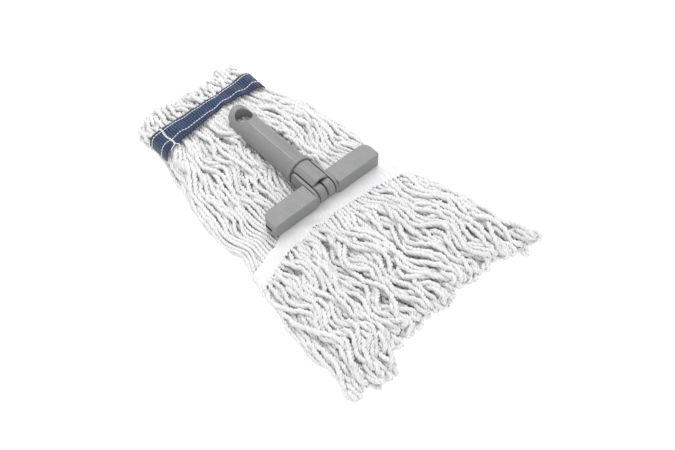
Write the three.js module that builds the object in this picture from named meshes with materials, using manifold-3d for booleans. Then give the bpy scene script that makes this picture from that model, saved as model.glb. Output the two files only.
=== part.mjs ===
// String mop head with a quick-connect holder.
// Millimetres, +Z up. X runs along the holder's cross bar, +Y towards the banded tail end and the tip
// of the connector post, -Y towards the loose fringe. The mop lies flat, with its underside at Z = 0 and
// the centre of its footprint at X = Y = 0.
// Inside the group every piece is laid out from the tilt hinge: X = Y = 0 there is on the hinge axis.

import * as THREE from "three";
import { mergeVertices } from "three/addons/utils/BufferGeometryUtils.js";
import Module from "manifold-3d";

const wasm = await Module();
wasm.setup();

// ---------------------------------------------------------------- driving dimensions
const FOOTPRINT_SHIFT = [4, -3]; // from the hinge axis to the centre of the footprint

const HINGE_Z = 25.4; // height of the tilt hinge
const POST_DROOP = 2.0; // degrees the post lies below level, resting on the tail half

const BAR_HALF = 67.5; // half length of the cross bar
const BAR_FRONT = -8.5;
const BAR_REAR = 12.5;
const BAR_TOP = 32.6;
const COVER_BOTTOM = 15.4;
const COVER_INNER = 14.1; // where each wing cover begins, from the middle
const REAR_CORNER_R = 9.5;

const EAR_IN = 10.9;
const EAR_OUT = 13.8;
const EAR_TOP = 33.6;
const EAR_REAR = 31.0;

const KNUCKLE_R = 8.8;
const KNUCKLE_IN = 0.8;
const KNUCKLE_OUT = 9.7;
const PIN_R = 2.0;
const PIN_BORE_R = 2.3;

const NECK_FRONT = 3.4; // along the post from the hinge axis, over the knuckles
const NECK_UNDER = 12.0; // where its lower half begins, behind the base bar
const NECK_REAR = 31.6;
const NECK_FLAT = 9.5; // half width across the neck's flats
const HOOD_INNER_R = 11.3; // inside of the thin hood over the knuckles
const HOOD_END = 13.5;
const SPIGOT_R = 11.2;
const SPIGOT_END = 54.0;
const NECK_BORE_R = 8.8;

const COLLAR_FRONT = 32.6;
const COLLAR_REAR = 37.2;
const COLLAR_R = 15.5;
const POST_R = 13.9; // at the collar
const POST_TIP_R = 13.7;
const POST_LENGTH = 134.6; // hinge axis to the tip
const POST_BORE_R = 11.6;
const POST_CORE_R = 9.6;
const POST_CORE_END = 99.0;
const HANG_HOLE_R = 9.25;
const HANG_HOLE_AT = 119.0;
const TIP_FLAT_FROM = 100.5; // the underside is scooped away from here, up to the axis, round the hang hole
const TIP_FLAT_FULL = 108.5;
const RIDGE_ANGLE = 14.0; // degrees from the top, where the mould's parting ridge runs
const RIDGE_HEIGHT = 0.3;

const BAND_FRONT = -23.0; // edges of the headband tapes
const BAND_REAR = 11.5;
const BAND_HALF_L = -103.0;
const BAND_HALF_R = 92.0;

const PLATE_TOP = 2.1;
const PLATE_HALF = 62.0;
const PLATE_FRONT = -7.5;
const PLATE_REAR = 7.0;
const SCREW_X = [-52, -24, 24, 52];
const SCREW_Y = 1.0;
const SCREW_R = 1.8;
const SCREW_BORE_R = 2.2;

// ---------------------------------------------------------------- colours
const material = (color, roughness, metalness) =>
  new THREE.MeshStandardMaterial({ color, roughness, metalness });
const GREY = material(0x9fa09f, 0.55, 0);
const COTTON = material(0xf1f1f2, 0.95, 0);
const TAPE = material(0xe9e9ec, 0.9, 0);
const NAVY = material(0x38507e, 0.9, 0);
const STEEL = material(0xb9bbbd, 0.35, 1);

// ---------------------------------------------------------------- solids
function solidOf(geometry) {
  const g = geometry.clone();
  for (const name of Object.keys(g.attributes))
    if (name !== "position") g.deleteAttribute(name);
  const merged = mergeVertices(g, 1e-4);
  return new wasm.Manifold(
    new wasm.Mesh({
      numProp: 3,
      vertProperties: new Float32Array(merged.attributes.position.array),
      triVerts: new Uint32Array(merged.index.array),
    }),
  );
}

function geometryOf(solid) {
  const mesh = solid.getMesh();
  const position = new Float32Array(mesh.numVert * 3);
  for (let i = 0; i < mesh.numVert; i++)
    for (let k = 0; k < 3; k++)
      position[3 * i + k] = mesh.vertProperties[mesh.numProp * i + k];
  const g = new THREE.BufferGeometry()
    .setAttribute("position", new THREE.BufferAttribute(position, 3))
    .setIndex(new THREE.BufferAttribute(mesh.triVerts, 1));
  g.computeVertexNormals();
  return g;
}

const cut = (a, ...others) =>
  geometryOf(others.reduce((s, b) => s.subtract(solidOf(b)), solidOf(a)));
const join = (a, ...others) =>
  geometryOf(others.reduce((s, b) => s.add(solidOf(b)), solidOf(a)));
const common = (a, b) => geometryOf(solidOf(a).intersect(solidOf(b)));

function box(x0, x1, y0, y1, z0, z1) {
  return new THREE.BoxGeometry(x1 - x0, y1 - y0, z1 - z0).translate(
    (x0 + x1) / 2,
    (y0 + y1) / 2,
    (z0 + z1) / 2,
  );
}

// A plan outline pulled up from z0 to z1, with an optional chamfered rim.
function slab(outline, z0, z1, bevel = 0) {
  const shape = new THREE.Shape(outline.map(([x, y]) => new THREE.Vector2(x, y)));
  return new THREE.ExtrudeGeometry(shape, {
    depth: z1 - z0 - 2 * bevel,
    bevelEnabled: bevel > 0,
    bevelThickness: bevel,
    bevelSize: bevel,
    bevelOffset: -bevel,
    bevelSegments: 2,
  }).translate(0, 0, z0 + bevel);
}

// A side outline in (y, z), given thickness from x0 to x1.
function plate(outline, x0, x1, bevel = 0) {
  return slab(outline, x0, x1, bevel)
    .rotateY(Math.PI / 2)
    .rotateX(Math.PI / 2);
}

// A round upright bore cutter.
function drill(x, y, radius, z0, z1, segments = 24) {
  return new THREE.CylinderGeometry(radius, radius, z1 - z0, segments)
    .rotateX(Math.PI / 2)
    .translate(x, y, (z0 + z1) / 2);
}

// A turned shape about the Y axis, from a profile of (radius, y) that starts and ends on the axis.
function turned(profile, segments = 48) {
  return new THREE.LatheGeometry(
    profile.map(([r, y]) => new THREE.Vector2(r, y)),
    segments,
  );
}

// A cylinder along X about the hinge axis.
function roller(radius, x0, x1, segments = 48) {
  return new THREE.CylinderGeometry(radius, radius, x1 - x0, segments)
    .rotateZ(Math.PI / 2)
    .translate((x0 + x1) / 2, 0, 0);
}

// A soft bundle of strands: stations along Y, each [y, left x, right x, bottom z, top z].
function bundle(stations) {
  const s = [...stations].sort((a, b) => a[0] - b[0]);
  const p = [];
  const f = [];
  for (const [y, l, r, b, t] of s) p.push(l, y, b, r, y, b, r, y, t, l, y, t);
  const quad = (a, b, c, d) => f.push(a, b, c, a, c, d);
  for (let i = 0; i + 1 < s.length; i++) {
    const m = 4 * i;
    const n = m + 4;
    quad(m, n, n + 1, m + 1); // underside
    quad(m + 1, n + 1, n + 2, m + 2); // right side
    quad(m + 2, n + 2, n + 3, m + 3); // top
    quad(m + 3, n + 3, n, m); // left side
  }
  const e = 4 * (s.length - 1);
  quad(0, 1, 2, 3);
  quad(e, e + 3, e + 2, e + 1);
  const g = new THREE.BufferGeometry();
  g.setAttribute("position", new THREE.Float32BufferAttribute(p, 3));
  g.setIndex(f);
  g.computeVertexNormals();
  return g;
}

// ---------------------------------------------------------------- groups
const mop = new THREE.Group();
mop.name = "string_mop";
const layout = new THREE.Group();
layout.position.set(FOOTPRINT_SHIFT[0], FOOTPRINT_SHIFT[1], 0);
mop.add(layout);
const post = new THREE.Group();
post.position.set(0, 0, HINGE_Z);
post.rotation.x = THREE.MathUtils.degToRad(-POST_DROOP);
layout.add(post);

function add(group, name, geometry, mat) {
  const mesh = new THREE.Mesh(geometry, mat);
  mesh.name = name;
  group.add(mesh);
}

// ---------------------------------------------------------------- cross bar
// Base bar: a flat rail that the covers and ears stand on, hollowed under the knuckles.
{
  const rail = slab(
    [
      [-64.6, -5.6],
      [64.6, -5.6],
      [64.6, 3.5],
      [58.5, 9.6],
      [-58.5, 9.6],
      [-64.6, 3.5],
    ],
    14.8,
    17.6,
  );
  const saddle = roller(KNUCKLE_R + 0.5, -14.4, 14.4, 64).translate(0, 0, HINGE_Z);
  const bores = SCREW_X.map((x) => drill(x, SCREW_Y, SCREW_BORE_R, 13, 19));
  add(layout, "base_bar", cut(rail, saddle, ...bores), GREY);
}

// Wing covers: hollow shells that drop over the base bar, square in front and rounded behind.
function wingOutline(inner, outer) {
  const pts = [
    [inner, BAR_FRONT],
    [outer - 1.2, BAR_FRONT],
    [outer, BAR_FRONT + 1.2],
  ];
  for (let i = 0; i <= 8; i++) {
    const a = (i / 8) * (Math.PI / 2);
    pts.push([
      outer - REAR_CORNER_R + REAR_CORNER_R * Math.cos(a),
      BAR_REAR - REAR_CORNER_R + REAR_CORNER_R * Math.sin(a),
    ]);
  }
  pts.push([inner, BAR_REAR]);
  return pts;
}
function wing(side) {
  const outer = slab(wingOutline(COVER_INNER, BAR_HALF), COVER_BOTTOM, BAR_TOP, 0.7);
  const pocket = slab(
    [
      [COVER_INNER - 2, -6.1],
      [65.2, -6.1],
      [65.2, 3.8],
      [58.8, 10.2],
      [COVER_INNER - 2, 10.2],
    ],
    COVER_BOTTOM - 2,
    18.1,
  );
  const hollows = [
    slab(
      [
        [27.5, -5.6],
        [48.5, -5.6],
        [48.5, 9.2],
        [27.5, 9.2],
      ],
      COVER_BOTTOM - 1,
      BAR_TOP - 2.4,
    ),
  ];
  const bores = [24, 52].map((x) => drill(x, SCREW_Y, SCREW_BORE_R, 15, 28));
  let g = cut(outer, pocket, ...hollows, ...bores);
  if (side < 0) {
    g = g.rotateZ(Math.PI); // turned round, then flipped front to back
    const p = g.attributes.position;
    for (let i = 0; i < p.count; i++) p.setY(i, -p.getY(i));
    const t = g.index.array;
    for (let i = 0; i < t.length; i += 3) [t[i + 1], t[i + 2]] = [t[i + 2], t[i + 1]];
    g = cut(g, box(-69, -57.2, -3.0, 7.6, 20.3, 23.9));
    // the release slot in the left end
  }
  g.computeVertexNormals();
  return g;
}
add(layout, "wing_cover_left", wing(-1), GREY);
add(layout, "wing_cover_right", wing(1), GREY);

// Ears: upright side plates that hold the hinge pin and flank the neck.
function earOutline() {
  const pts = [];
  const arc = (cy, cz, r, a0, a1, n) => {
    for (let i = 0; i <= n; i++) {
      const a = THREE.MathUtils.degToRad(a0 + ((a1 - a0) * i) / n);
      pts.push([cy + r * Math.cos(a), cz + r * Math.sin(a)]);
    }
  };
  arc(0, EAR_TOP - 8.4, 8.4, 180, 90, 8); // round the front of the hinge
  arc(EAR_REAR - 5, EAR_TOP - 5, 5, 90, 0, 6);
  arc(EAR_REAR - 4.5, 21.3, 4.5, 0, -90, 6);
  pts.push([10.6, 16.8], [10.6, 18.0], [-8.4, 18.0]);
  return pts.reverse();
}
for (const [name, x0, x1] of [
  ["ear_left", -EAR_OUT, -EAR_IN],
  ["ear_right", EAR_IN, EAR_OUT],
]) {
  add(
    layout,
    name,
    cut(
      plate(earOutline(), x0, x1, 0.4),
      roller(PIN_BORE_R, x0 - 1, x1 + 1, 24).translate(0, 0, HINGE_Z),
    ),
    GREY,
  );
}
add(
  layout,
  "hinge_pin",
  roller(PIN_R, -EAR_OUT, EAR_OUT, 24).translate(0, 0, HINGE_Z),
  STEEL,
);

// Clamp plate under the headband, and the screws that draw it to the covers.
add(
  layout,
  "clamp_plate",
  cut(
    slab(
      [
        [-PLATE_HALF, PLATE_FRONT],
        [PLATE_HALF, PLATE_FRONT],
        [PLATE_HALF, PLATE_REAR],
        [-PLATE_HALF, PLATE_REAR],
      ],
      0,
      PLATE_TOP,
    ),
    ...SCREW_X.map((x) => drill(x, SCREW_Y, SCREW_BORE_R, -1, 4)),
    ...SCREW_X.map((x) => drill(x, SCREW_Y, 4.2, -1, 1.5)),
  ),
  GREY,
);
SCREW_X.forEach((x, i) => {
  const screw = new THREE.LatheGeometry(
    [
      [0, 0.3],
      [3.7, 0.3],
      [3.7, 1.2],
      [SCREW_R, 1.2],
      [SCREW_R, 25.0],
      [0.6, 26.6],
      [0, 26.6],
    ].map(([r, z]) => new THREE.Vector2(r, z)),
    20,
  ).rotateX(Math.PI / 2);
  const drive = box(-0.45, 0.45, -2.6, 2.6, -0.5, 0.8);
  const cross = box(-2.6, 2.6, -0.45, 0.45, -0.5, 0.8);
  add(
    layout,
    "clamp_screw_" + (i + 1),
    cut(screw, drive, cross).translate(x, SCREW_Y, 0),
    STEEL,
  );
});

// ---------------------------------------------------------------- headband
function tape(z0, z1, x0 = BAND_HALF_L, x1 = BAND_HALF_R) {
  return cut(
    box(x0, x1, BAND_FRONT, BAND_REAR, z0, z1),
    ...SCREW_X.map((x) => drill(x, SCREW_Y, SCREW_BORE_R + 0.2, z0 - 1, z1 + 1)),
  );
}
add(layout, "headband_bottom", tape(2.5, 3.3), TAPE);
add(layout, "headband_strands", tape(3.6, 13.4), COTTON);
add(layout, "headband_top", tape(13.7, 14.5), TAPE);

// ---------------------------------------------------------------- connector post
// All in the post's own frame: Y runs along its axis from the hinge.
for (const [name, x0, x1, a0, a1] of [
  ["knuckle_left", -KNUCKLE_OUT, -KNUCKLE_IN, -6.0, -KNUCKLE_IN],
  ["knuckle_right", KNUCKLE_IN, KNUCKLE_OUT, KNUCKLE_IN, 6.0],
]) {
  const w = x1 - x0;
  const disc = turned(
    [
      [0, 0],
      [KNUCKLE_R - 1.3, 0],
      [KNUCKLE_R - 0.4, 0.4],
      [KNUCKLE_R, 1.3],
      [KNUCKLE_R, w - 1.3],
      [KNUCKLE_R - 0.4, w - 0.4],
      [KNUCKLE_R - 1.3, w],
      [0, w],
    ],
    56,
  )
    .rotateZ(-Math.PI / 2)
    .translate(x0, 0, 0);
  const arm = box(a0, a1, 2, 44, -6.0, 0.5);
  add(post, name, cut(join(disc, arm), roller(PIN_BORE_R, x0 - 1, x1 + 1, 24)), GREY);
}

// Neck: the post's own round, cut flat on both sides to pass between the ears, with a spigot behind.
{
  const round = turned([
    [0, NECK_FRONT],
    [POST_R - 1.3, NECK_FRONT],
    [POST_R - 0.5, NECK_FRONT + 0.8],
    [POST_R - 0.5, NECK_REAR],
    [SPIGOT_R, NECK_REAR],
    [SPIGOT_R, SPIGOT_END - 1],
    [SPIGOT_R - 1, SPIGOT_END],
    [0, SPIGOT_END],
  ]);
  const left = box(-30, -NECK_FLAT, NECK_FRONT - 2, NECK_REAR, -30, 30);
  const right = box(NECK_FLAT, 30, NECK_FRONT - 2, NECK_REAR, -30, 30);
  const bore = turned([
    [0, NECK_FRONT - 2],
    [NECK_BORE_R, NECK_FRONT - 2],
    [NECK_BORE_R, SPIGOT_END + 2],
    [0, SPIGOT_END + 2],
  ]);
  const hingeRelief = roller(KNUCKLE_R + 0.6, -12, 12, 56);
  const under = box(-12, 12, NECK_FRONT - 2, NECK_UNDER, -20, -3.5);
  const hood = turned([
    [0, NECK_FRONT - 2],
    [HOOD_INNER_R, NECK_FRONT - 2],
    [HOOD_INNER_R, HOOD_END - 2],
    [NECK_BORE_R, HOOD_END],
    [0, HOOD_END],
  ]);
  add(post, "neck", cut(round, left, right, bore, hood, hingeRelief, under), GREY);
}

// Post: a tapered tube with a collar lip, and a half-round tip around the hang hole.
{
  const outside = turned([
    [0, COLLAR_FRONT],
    [COLLAR_R - 0.8, COLLAR_FRONT],
    [COLLAR_R, COLLAR_FRONT + 0.8],
    [COLLAR_R, COLLAR_REAR],
    [POST_R, COLLAR_REAR],
    [POST_TIP_R, POST_LENGTH + 2],
    [0, POST_LENGTH + 2],
  ], 64);
  const tip = [];
  tip.push([-30, COLLAR_FRONT - 5], [30, COLLAR_FRONT - 5], [30, POST_LENGTH - 25]);
  const nose = POST_LENGTH - HANG_HOLE_AT; // round about the hang hole's centre
  for (let i = 0; i <= 28; i++) {
    const a = (i / 28) * Math.PI;
    tip.push([nose * Math.cos(a), HANG_HOLE_AT + nose * Math.sin(a)]);
  }
  tip.push([-30, POST_LENGTH - 25]);
  const ridge = slab(
    [
      [-1.3, POST_R - 0.9],
      [1.3, POST_R - 0.9],
      [0.5, POST_R + RIDGE_HEIGHT],
      [-0.5, POST_R + RIDGE_HEIGHT],
    ],
    -108,
    -(COLLAR_REAR - 1),
  )
    .rotateX(Math.PI / 2)
    .rotateY(THREE.MathUtils.degToRad(-RIDGE_ANGLE));
  const body = join(common(outside, slab(tip, -30, 30)), ridge);
  const scoop = plate(
    [
      [TIP_FLAT_FROM, -20],
      [POST_LENGTH + 6, -20],
      [POST_LENGTH + 6, 0],
      [TIP_FLAT_FULL, 0],
      [TIP_FLAT_FROM, -14.6],
    ],
    -30,
    30,
  );
  const bore = turned([
    [0, COLLAR_FRONT - 2],
    [POST_BORE_R, COLLAR_FRONT - 2],
    [POST_BORE_R, SPIGOT_END + 1.5],
    [POST_CORE_R, SPIGOT_END + 1.5],
    [POST_CORE_R, POST_CORE_END - 6],
    [POST_CORE_R - 6, POST_CORE_END],
    [0, POST_CORE_END],
  ]);
  add(
    post,
    "connector_post",
    cut(body, bore, scoop, drill(0, HANG_HOLE_AT, HANG_HOLE_R, -30, 30, 48)),
    GREY,
  );
}

// ---------------------------------------------------------------- near half: loose looped fringe
// Plan boundaries between neighbouring bundles, as x at the headband and at three stations beyond it.
{
  const gap = 0.35;
  const y = [-24.3, -60, -115, -170];
  const bounds = [
    [-105, -118, -123, -128],
    [-70, -78, -82, -86],
    [-36, -39, -41, -43],
    [-2, -1, 0, 0],
    [29, 34, 38, 41],
    [58, 68, 76, 80],
    [88, 100, 113, 119],
  ];
  const top = [15.5, 17.5, 20.5, 24];
  const end = [
    [-197, -130, -94, 13],
    [-178, -86, -50, 15],
    [-173, -43, -2, 15],
    [-173, 0, 40, 15],
    [-176, 43, 80, 15],
    [-176, 84, 122, 15],
  ];
  for (let k = 0; k < 6; k++) {
    const stations = y.map((yy, i) => [
      yy,
      bounds[k][i] + gap,
      bounds[k + 1][i] - gap,
      0,
      top[i],
    ]);
    const [ye, xl, xr, zt] = end[k];
    stations.push([ye, xl + gap, xr - gap, 0, zt]);
    if (k === 0) stations[stations.length - 1][1] = -130;
    if (k === 5) stations[stations.length - 1][2] = 122;
    add(layout, "near_strands_" + (k + 1), bundle(stations), COTTON);
  }
}

// ---------------------------------------------------------------- far half: towards the tail band
{
  const gap = 0.35;
  const y = [12.8, 50, 95, 135.7];
  const bounds = [
    [-108, -105, -98, -93],
    [-62, -61, -58, -55],
    [-15.6, -15.6, -15.6, -15.6],
    [15.6, 15.6, 15.6, 15.6],
    [52, 49, 45, 40],
    [90, 81, 74, 60],
  ];
  const top = [
    [16, 17, 19, 21],
    [16, 17, 19, 21],
    [7.0, 6.9, 6.8, 6.6],
    [16, 17, 19, 21],
    [16, 17, 18, 19],
  ];
  // the middle bundle runs flat under the post, then rises under its scooped tip
  const middle = [
    [12.8, 7.0],
    [50, 6.9],
    [101, 6.6],
    [112.5, 18.2],
    [135.7, 18.6],
  ].map(([yy, t]) => [yy, bounds[2][0] + gap, bounds[3][0] - gap, 0, t]);
  for (let k = 0; k < 5; k++)
    add(
      layout,
      "far_strands_" + (k + 1),
      bundle(
        k === 2
          ? middle
          : y.map((yy, i) => [yy, bounds[k][i] + gap, bounds[k + 1][i] - gap, 0, top[k][i]]),
      ),
      COTTON,
    );
}

// Tail: strands held between two woven tapes, with their looped ends beyond.
{
  add(
    layout,
    "tail_band_bottom",
    bundle([
      [142, -82, 50, 0.6, 1.8],
      [168, -82, 50, 0.6, 1.8],
    ]),
    NAVY,
  );
  add(
    layout,
    "tail_strands",
    bundle([
      [136.3, -91, 59, 2.1, 23],
      [169, -88, 56, 2.1, 24.5],
    ]),
    COTTON,
  );
  add(
    layout,
    "tail_band_top",
    bundle([
      [141.5, -82, 50, 25.0, 26.2],
      [168, -82, 50, 25.0, 26.2],
    ]),
    NAVY,
  );
  const gap = 0.35;
  const x = [-96, -43, 9, 60];
  const y = [192, 198, 203];
  ["left", "middle", "right"].forEach((side, k) =>
    add(
      layout,
      "tail_loops_" + side,
      bundle([
        [169.6, x[k] + gap + (k === 0 ? 6 : 0), x[k + 1] - gap, 0, 24],
        [184, x[k] + (k ? gap : 0), x[k + 1] - (k < 2 ? gap : 0), 0, 20],
        [y[k], x[k] + gap + 6, x[k + 1] - gap - 6, 0, 9],
      ]),
      COTTON,
    ),
  );
}

export default mop;
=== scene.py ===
import math

import bmesh
import bpy
import numpy as np
from mathutils import Matrix, Vector


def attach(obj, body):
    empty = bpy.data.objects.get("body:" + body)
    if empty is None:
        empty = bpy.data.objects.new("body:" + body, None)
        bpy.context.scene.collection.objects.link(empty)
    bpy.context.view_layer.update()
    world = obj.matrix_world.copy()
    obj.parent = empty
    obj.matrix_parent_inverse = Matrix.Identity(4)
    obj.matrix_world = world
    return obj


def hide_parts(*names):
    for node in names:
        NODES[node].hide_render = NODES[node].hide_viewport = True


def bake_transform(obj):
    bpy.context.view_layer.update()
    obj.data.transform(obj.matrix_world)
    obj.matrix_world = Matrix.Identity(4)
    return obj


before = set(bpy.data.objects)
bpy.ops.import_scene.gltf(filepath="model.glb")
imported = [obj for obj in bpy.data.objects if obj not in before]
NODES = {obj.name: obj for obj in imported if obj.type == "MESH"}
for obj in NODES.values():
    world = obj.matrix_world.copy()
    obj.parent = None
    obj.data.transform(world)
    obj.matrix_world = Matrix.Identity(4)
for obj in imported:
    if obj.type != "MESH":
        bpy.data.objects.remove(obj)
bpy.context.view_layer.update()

scene = bpy.context.scene
MM = 0.001
SX, SY = 4.0, -3.0  # hinge axis in the row frame, mm
HINGE_Z = 25.4
DROOP = math.radians(2.0)

# ------------------------------------------------------------------ camera
cam_data = bpy.data.cameras.new("camera")
cam = bpy.data.objects.new("camera", cam_data)
scene.collection.objects.link(cam)
scene.camera = cam
AZ, EL, DIST = math.radians(-42.2672), math.radians(53.8885), 1.177143
back = Vector((math.sin(AZ) * math.cos(EL), -math.cos(AZ) * math.cos(EL), math.sin(EL)))
aim = Vector((-0.00171, -0.030791, 0.0))
cam.location = aim + back * DIST
cam.rotation_euler = (-back).to_track_quat("-Z", "Y").to_euler()
cam_data.lens = 64.24
cam_data.sensor_width = 36.0
cam_data.clip_start = 0.02
cam_data.clip_end = 30.0


# ------------------------------------------------------------------ node helpers
def new_material(name):
    m = bpy.data.materials.new(name)
    m.use_nodes = True
    nt = m.node_tree
    bsdf = nt.nodes["Principled BSDF"]
    return m, nt, bsdf


def node(nt, kind, **values):
    n = nt.nodes.new(kind)
    for k, v in values.items():
        if k in n.inputs:
            n.inputs[k].default_value = v
        else:
            setattr(n, k, v)
    return n


def link(nt, a, b):
    nt.links.new(a, b)


def ramp(nt, fac, stops):
    r = nt.nodes.new("ShaderNodeValToRGB")
    els = r.color_ramp.elements
    while len(els) < len(stops):
        els.new(0.5)
    for e, (p, c) in zip(els, stops):
        e.position = p
        e.color = (c, c, c, 1) if not hasattr(c, "__len__") else (*c, 1)
    link(nt, fac, r.inputs[0])
    return r.outputs[0]


def mix(nt, fac, a, b, mode="MIX"):
    n = nt.nodes.new("ShaderNodeMix")
    n.data_type = "RGBA"
    n.blend_type = mode
    for sock, v in ((0, fac), (6, a), (7, b)):
        if isinstance(v, (int, float)):
            n.inputs[sock].default_value = v if sock == 0 else (v, v, v, 1)
        elif isinstance(v, tuple):
            n.inputs[sock].default_value = (*v, 1)
        else:
            link(nt, v, n.inputs[sock])
    return n.outputs[2]


def math_node(nt, op, a, b=None):
    n = nt.nodes.new("ShaderNodeMath")
    n.operation = op
    for i, v in enumerate((a, b)):
        if v is None:
            continue
        if isinstance(v, (int, float)):
            n.inputs[i].default_value = v
        else:
            link(nt, v, n.inputs[i])
    return n.outputs[0]


def object_coords(nt):
    return nt.nodes.new("ShaderNodeTexCoord").outputs["Object"]


def noise(nt, vec, scale, detail=3.0, rough=0.55):
    n = node(nt, "ShaderNodeTexNoise", Scale=scale, Detail=detail, Roughness=rough)
    link(nt, vec, n.inputs["Vector"])
    return n.outputs["Fac"]


def bump(nt, height, strength, distance, normal=None):
    b = node(nt, "ShaderNodeBump", Strength=strength, Distance=distance)
    link(nt, height, b.inputs["Height"])
    if normal is not None:
        link(nt, normal, b.inputs["Normal"])
    return b.outputs["Normal"]


# ------------------------------------------------------------------ materials
def plastic_material(name, base, seed, ridge=False, slot=False):
    """Satin moulded polypropylene: fine spark-eroded grain, faint flow variation, paler edges that are partly abrasion
    and partly painted highlight. Optionally a painted highlight line along the parting ridge and painted shade in the
    release slot.
    """
    m, nt, bsdf = new_material(name)
    oc = object_coords(nt)
    shifted = node(nt, "ShaderNodeMapping", Location=(seed, seed * 0.7, 0.0))
    link(nt, oc, shifted.inputs["Vector"])
    v = shifted.outputs[0]
    cloud = noise(nt, v, 38.0, 3.0)
    speck = noise(nt, v, 900.0, 2.0)
    tone = ramp(nt, cloud, [(0.3, tuple(c * 0.94 for c in base)), (0.7, tuple(c * 1.05 for c in base))])
    grain = ramp(nt, speck, [(0.35, 0.93), (0.65, 1.05)])
    body = mix(nt, 1.0, tone, grain, "MULTIPLY")
    # paler edges, partly abrasion and partly painted highlight: where the rounded normal leaves the face normal
    geo = nt.nodes.new("ShaderNodeNewGeometry")
    bev = node(nt, "ShaderNodeBevel", samples=6, Radius=0.0009)
    dot = nt.nodes.new("ShaderNodeVectorMath")
    dot.operation = "DOT_PRODUCT"
    link(nt, geo.outputs["Normal"], dot.inputs[0])
    link(nt, bev.outputs[0], dot.inputs[1])
    edge = ramp(nt, dot.outputs["Value"], [(0.86, 1.0), (0.985, 0.0)])
    edge_breakup = ramp(nt, noise(nt, v, 210.0, 4.0), [(0.42, 0.15), (0.62, 1.0)])
    edge_wear_and_highlight = math_node(nt, "MULTIPLY", edge, edge_breakup)
    edge_wear_and_highlight = math_node(nt, "MULTIPLY", edge_wear_and_highlight, 0.45)
    pale_edge_tone = tuple(min(1.0, c * 1.42) for c in base)
    body = mix(nt, edge_wear_and_highlight, body, pale_edge_tone)
    if ridge:  # painted highlight: a pale line painted along the mould's parting ridge on top, in place of the light's glint
        t = math.radians(14.0)
        nrm = (math.cos(t), math.sin(t) * math.sin(DROOP), math.sin(t) * math.cos(DROOP))
        off = sum(a * b for a, b in zip(nrm, (SX * MM, SY * MM, HINGE_Z * MM)))
        d2 = nt.nodes.new("ShaderNodeVectorMath")
        d2.operation = "DOT_PRODUCT"
        link(nt, oc, d2.inputs[0])
        d2.inputs[1].default_value = nrm
        away = math_node(nt, "ABSOLUTE", math_node(nt, "SUBTRACT", d2.outputs["Value"], off))
        line = ramp(nt, math_node(nt, "MULTIPLY", away, 100.0), [(0.025, 1.0), (0.065, 0.0)])
        sep = nt.nodes.new("ShaderNodeSeparateXYZ")
        link(nt, oc, sep.inputs[0])
        above = ramp(nt, math_node(nt, "MULTIPLY", sep.outputs[2], 10.0), [(0.29, 0.0), (0.31, 1.0)])
        inside = ramp(nt, math_node(nt, "MULTIPLY", sep.outputs[1], 5.0), [(0.17, 0.30), (0.20, 1.0), (0.48, 1.0), (0.53, 0.0)])
        highlight_breakup = ramp(nt, noise(nt, v, 90.0, 3.0), [(0.3, 0.55), (0.6, 1.0)])
        k = math_node(nt, "MULTIPLY", math_node(nt, "MULTIPLY", line, above), math_node(nt, "MULTIPLY", inside, highlight_breakup))
        body = mix(nt, k, body, (0.37, 0.37, 0.37))
    if slot:  # painted shade: the unlit depth of the release slot painted near black
        sep = nt.nodes.new("ShaderNodeSeparateXYZ")
        link(nt, oc, sep.inputs[0])
        k = None
        for axis, lo, hi in ((0, -0.06315, -0.0530), (1, -0.0062, 0.0048), (2, 0.0202, 0.0240)):
            for op, lim in (("GREATER_THAN", lo), ("LESS_THAN", hi)):
                t = math_node(nt, op, sep.outputs[axis], lim)
                k = t if k is None else math_node(nt, "MULTIPLY", k, t)
        body = mix(nt, k, body, (0.004, 0.004, 0.004))
    link(nt, body, bsdf.inputs["Base Color"])
    rough = ramp(nt, noise(nt, v, 120.0, 3.0), [(0.3, 0.40), (0.7, 0.52)])
    link(nt, rough, bsdf.inputs["Roughness"])
    bsdf.inputs["IOR"].default_value = 1.49
    bsdf.inputs["Specular IOR Level"].default_value = 0.42
    h = noise(nt, v, 1500.0, 2.0)
    n1 = bump(nt, h, 0.22, 0.00012)
    n2 = bump(nt, noise(nt, v, 60.0, 2.0), 0.10, 0.0006, n1)
    link(nt, n2, bsdf.inputs["Normal"])
    return m


def steel_material():
    m, nt, bsdf = new_material("zinc_steel")
    oc = object_coords(nt)
    stretch = node(nt, "ShaderNodeMapping", Scale=(40.0, 900.0, 900.0))
    link(nt, oc, stretch.inputs["Vector"])
    n1 = noise(nt, stretch.outputs[0], 1.0, 3.0)
    link(nt, ramp(nt, noise(nt, oc, 160.0, 3.0), [(0.3, (0.50, 0.50, 0.51)), (0.7, (0.66, 0.66, 0.67))]), bsdf.inputs["Base Color"])
    bsdf.inputs["Metallic"].default_value = 1.0
    link(nt, ramp(nt, n1, [(0.3, 0.26), (0.7, 0.42)]), bsdf.inputs["Roughness"])
    link(nt, bump(nt, n1, 0.15, 0.0001), bsdf.inputs["Normal"])
    return m


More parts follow.
